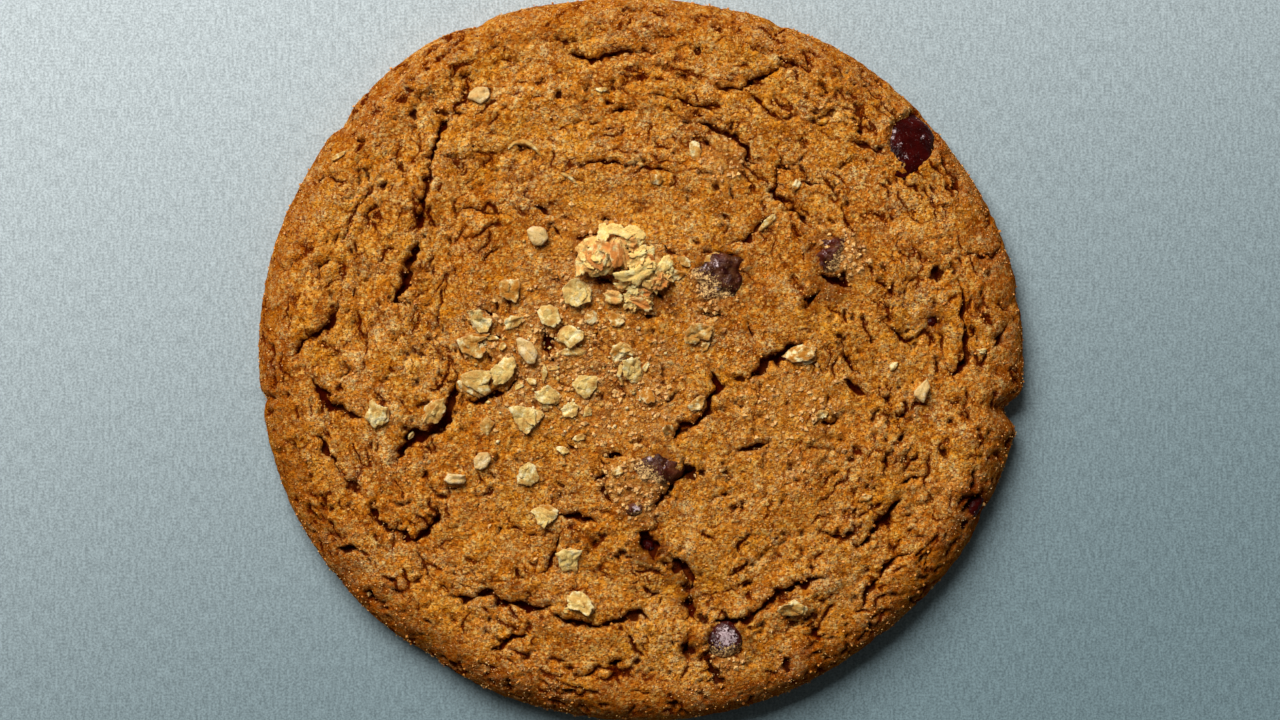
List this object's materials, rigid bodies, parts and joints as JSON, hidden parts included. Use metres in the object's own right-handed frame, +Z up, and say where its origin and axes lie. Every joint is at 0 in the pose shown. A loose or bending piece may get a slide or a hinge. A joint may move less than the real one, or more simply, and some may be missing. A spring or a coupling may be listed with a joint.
{
  "type": "granola cookie",
  "caption": "Large round granola cookie with a cracked, browned top, chocolate chips, a clump of granola and oat flakes bedded in it.",
  "frame": {"origin": "under the middle of the cookie's outline, on its flat base", "axes": "+Z up out of the browned top, +X along the wider diameter, +Y towards the side that faces the light"},
  "size_m": [0.1146, 0.1082, 0.0139],
  "materials": {
    "dough": "baked golden-brown crumb, matt, finely grained and cracked",
    "chocolate": "dark chocolate, smooth and glossy, with grey bloom in places",
    "granola": "toasted oat clump, matt with a slight syrup sheen",
    "oats": "rolled oat flakes, pale cream to straw, satin",
    "kernels": "whole oat and nut kernels, pale cream, satin"
  },
  "bodies": {
    "root": {"dough": "dough", "chip_glossy": "chocolate", "chip_bloomed": "chocolate", "chip_half_covered": "chocolate", "chip_crumbed": "chocolate", "chip_sunken": "chocolate", "chip_sunken_small": "chocolate", "chip_in_hole": "chocolate", "chip_dark": "chocolate", "chip_at_rim": "chocolate", "granola_clump": "granola", "oat_flake_1": "oats", "oat_flake_2": "oats", "oat_flake_3": "oats", "oat_flake_4": "oats", "oat_flake_5": "oats", "oat_flake_6": "oats", "oat_flake_7": "oats", "oat_flake_8": "oats", "oat_flake_9": "oats", "oat_flake_10": "oats", "oat_flake_11": "oats", "oat_flake_12": "oats", "oat_flake_13": "oats", "oat_flake_14": "oats", "oat_flake_15": "oats", "oat_flake_16": "oats", "oat_flake_17": "oats", "oat_flake_18": "oats", "oat_flake_19": "oats", "oat_flake_20": "oats", "oat_flake_21": "oats", "oat_flake_22": "oats", "oat_kernel_1": "kernels", "oat_kernel_2": "kernels", "oat_kernel_3": "kernels", "oat_kernel_4": "kernels"}
  },
  "joints": []
}
